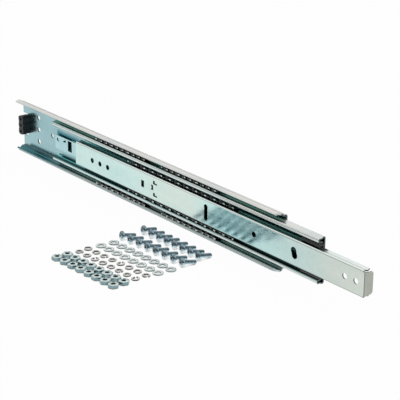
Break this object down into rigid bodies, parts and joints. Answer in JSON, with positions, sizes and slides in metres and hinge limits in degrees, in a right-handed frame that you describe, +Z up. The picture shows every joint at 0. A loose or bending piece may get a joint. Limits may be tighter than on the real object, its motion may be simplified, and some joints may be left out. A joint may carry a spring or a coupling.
{
  "type": "telescopic ball bearing slide",
  "caption": "Telescopic ball bearing slide for rack equipment, partly drawn out, with its loose screws, washers and nuts.",
  "frame": {"origin": "centre of the middle rear fixing hole, in the back face of the outer member's web", "axes": "+X along the slide towards its front, +Y to the rack behind it, +Z up"},
  "size_m": [0.5121, 0.1455, 0.053],
  "materials": {
    "zinc_outer": "bright zinc plate",
    "zinc_middle": "bright zinc plate",
    "zinc_inner": "bright zinc plate",
    "zinc_plate": "bright zinc plate",
    "ball_steel": "polished",
    "cage_steel": "plated strip",
    "hardware_zinc": "bright zinc plate",
    "bumper_rubber": "moulded",
    "guide_plastic": "moulded"
  },
  "bodies": {
    "outer": {"outer_member": "zinc_outer", "rear_bumper": "bumper_rubber", "machine_screws": "hardware_zinc", "flat_washers": "hardware_zinc", "lock_washers": "hardware_zinc", "hex_nuts": "hardware_zinc"},
    "intermediate": {"intermediate_member": "zinc_middle", "latch_plate": "zinc_plate", "latch_plate_rivets": "zinc_plate", "guide_block_upper": "guide_plastic", "guide_block_lower": "guide_plastic"},
    "inner": {"inner_member": "zinc_inner"},
    "outer_cage": {"outer_ball_cage": "cage_steel", "outer_balls_upper": "ball_steel", "outer_balls_lower": "ball_steel"},
    "inner_cage": {"inner_ball_cage": "cage_steel", "inner_balls_upper": "ball_steel", "inner_balls_lower": "ball_steel"}
  },
  "joints": [
    {"name": "intermediate_slide", "type": "slide", "parent": "outer", "child": "intermediate", "axis": [1, 0, 0], "range_m": [-0.0536, 0.1494]},
    {"name": "inner_slide", "type": "slide", "parent": "intermediate", "child": "inner", "axis": [1, 0, 0], "range_m": [-0.0456, 0.1481]},
    {"name": "outer_cage_slide", "type": "slide", "parent": "outer", "child": "outer_cage", "axis": [1, 0, 0], "range_m": [-0.0268, 0.0747]},
    {"name": "inner_cage_slide", "type": "slide", "parent": "intermediate", "child": "inner_cage", "axis": [1, 0, 0], "range_m": [-0.0228, 0.07405]}
  ],
  "couplings": [
    {"joint": "outer_cage_slide", "follows": "intermediate_slide", "ratio": 0.5},
    {"joint": "inner_cage_slide", "follows": "inner_slide", "ratio": 0.5}
  ]
}
